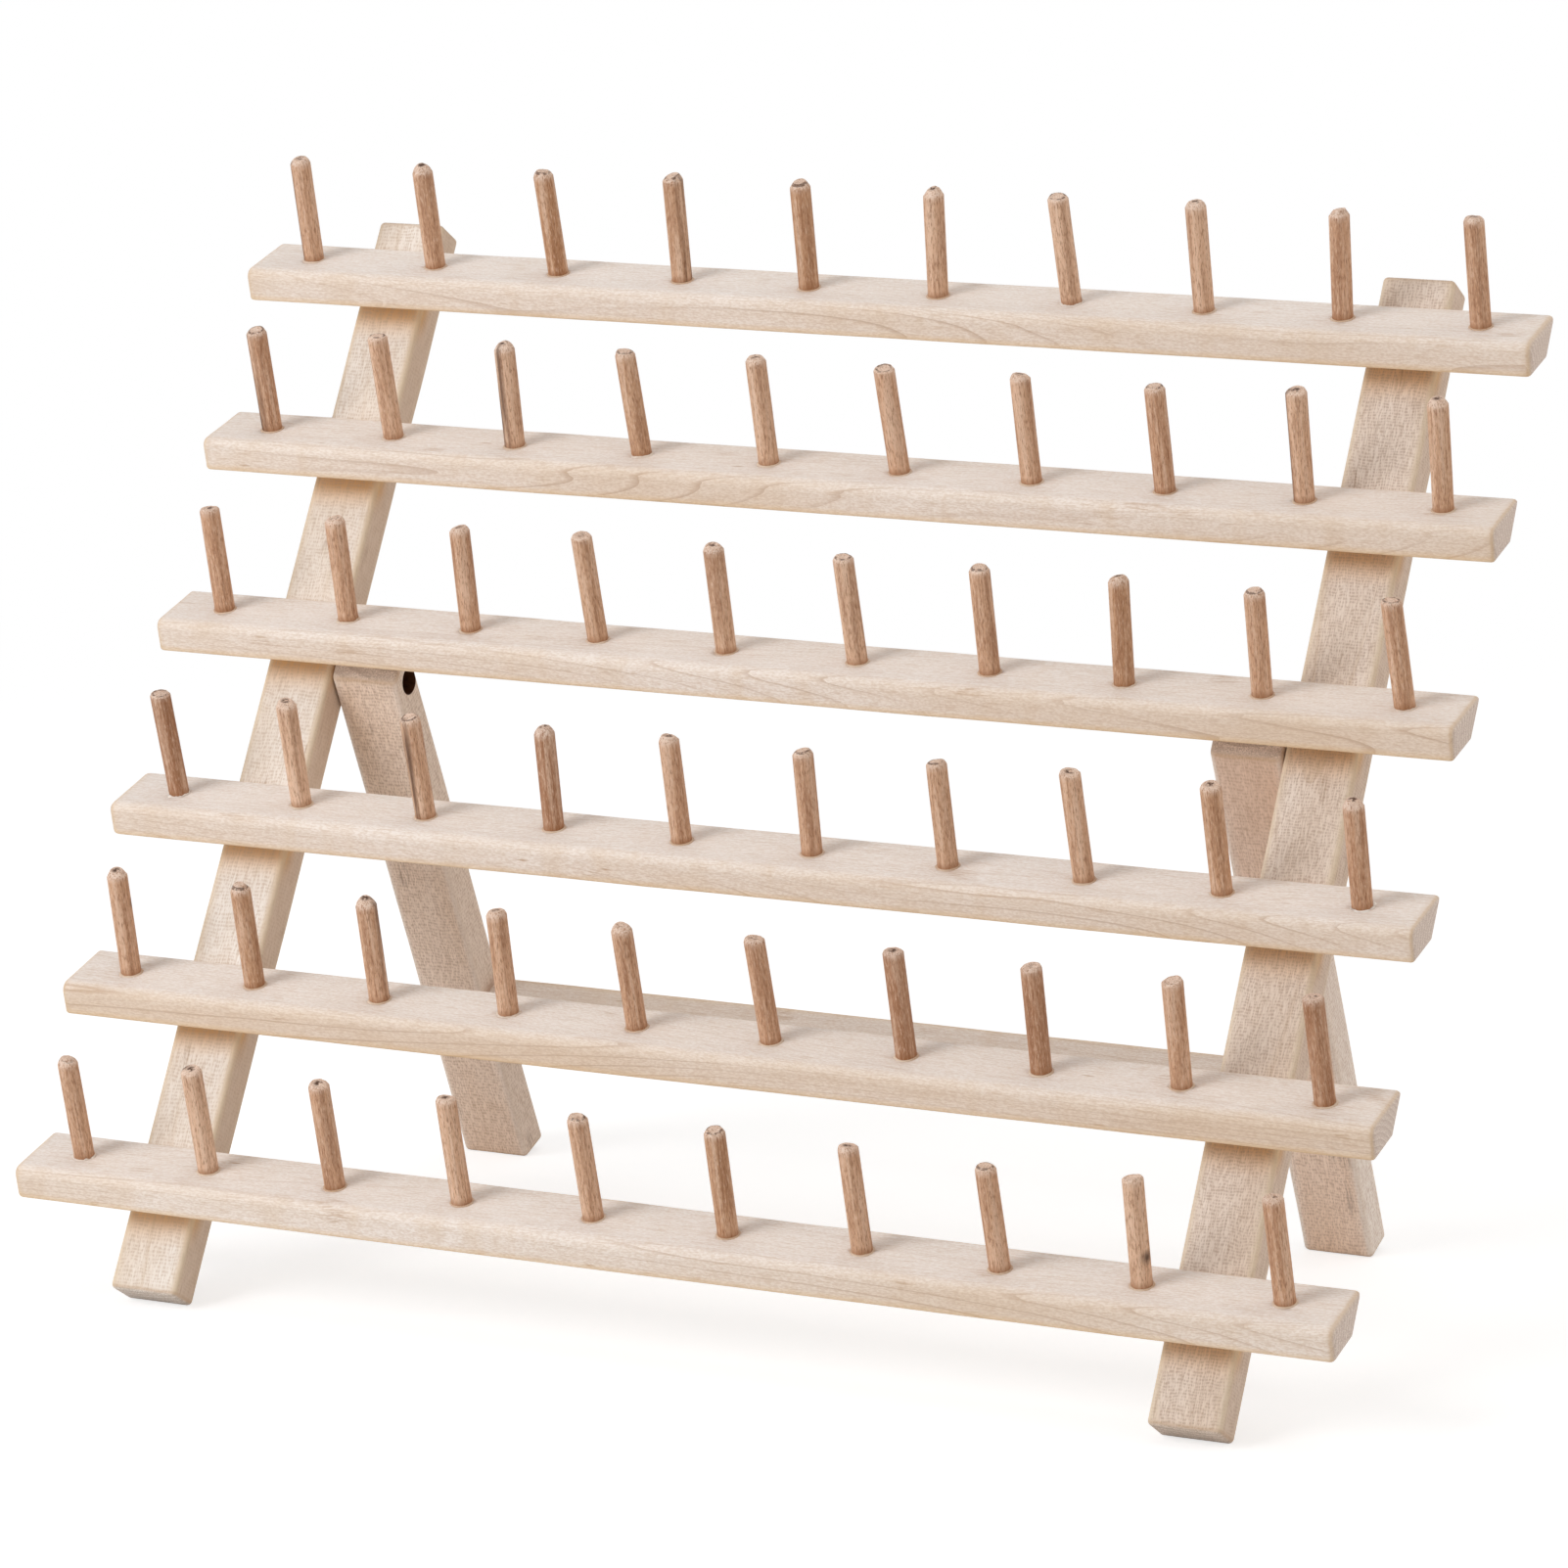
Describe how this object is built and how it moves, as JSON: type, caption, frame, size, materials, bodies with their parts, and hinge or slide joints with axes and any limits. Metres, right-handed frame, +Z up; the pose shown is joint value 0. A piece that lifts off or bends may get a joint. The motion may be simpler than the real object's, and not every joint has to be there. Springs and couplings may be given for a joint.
{
  "type": "thread spool rack",
  "caption": "Folding wooden rack that holds thread spools on rows of slanted dowel pegs, on leaning front legs with a hinged back stand.",
  "frame": {"origin": "on the floor, at the middle of the open rack's box", "axes": "+X along the rails to the right, +Y to the back, +Z up"},
  "size_m": [0.4052, 0.191, 0.3104],
  "materials": {
    "rail_wood": "pale planed wood, unfinished, edges eased",
    "leg_wood": "tan sawn wood, unfinished, speckled",
    "peg_wood": "reddish brown dowel, unfinished",
    "screw_steel": "zinc plated",
    "pivot_steel": "black oxide"
  },
  "bodies": {
    "front_frame": {"front_leg_left": "leg_wood", "front_leg_right": "leg_wood", "rail_1": "rail_wood", "rail_2": "rail_wood", "rail_3": "rail_wood", "rail_4": "rail_wood", "rail_5": "rail_wood", "rail_6": "rail_wood", "pegs_rail_1": "peg_wood", "pegs_rail_2": "peg_wood", "pegs_rail_3": "peg_wood", "pegs_rail_4": "peg_wood", "pegs_rail_5": "peg_wood", "pegs_rail_6": "peg_wood", "rail_screws_left": "screw_steel", "rail_screws_right": "screw_steel", "pivot_screw_left": "pivot_steel", "pivot_screw_right": "pivot_steel"},
    "back_stand": {"back_leg_left": "leg_wood", "back_leg_right": "leg_wood", "crossbar": "leg_wood", "crossbar_screw_left": "screw_steel", "crossbar_screw_right": "screw_steel"}
  },
  "joints": [
    {"name": "stand_fold", "type": "hinge", "parent": "front_frame", "child": "back_stand", "pos_m": [0, 0.01541, 0.16444], "axis": [-1, 0, 0], "range_deg": [0, 57]}
  ]
}
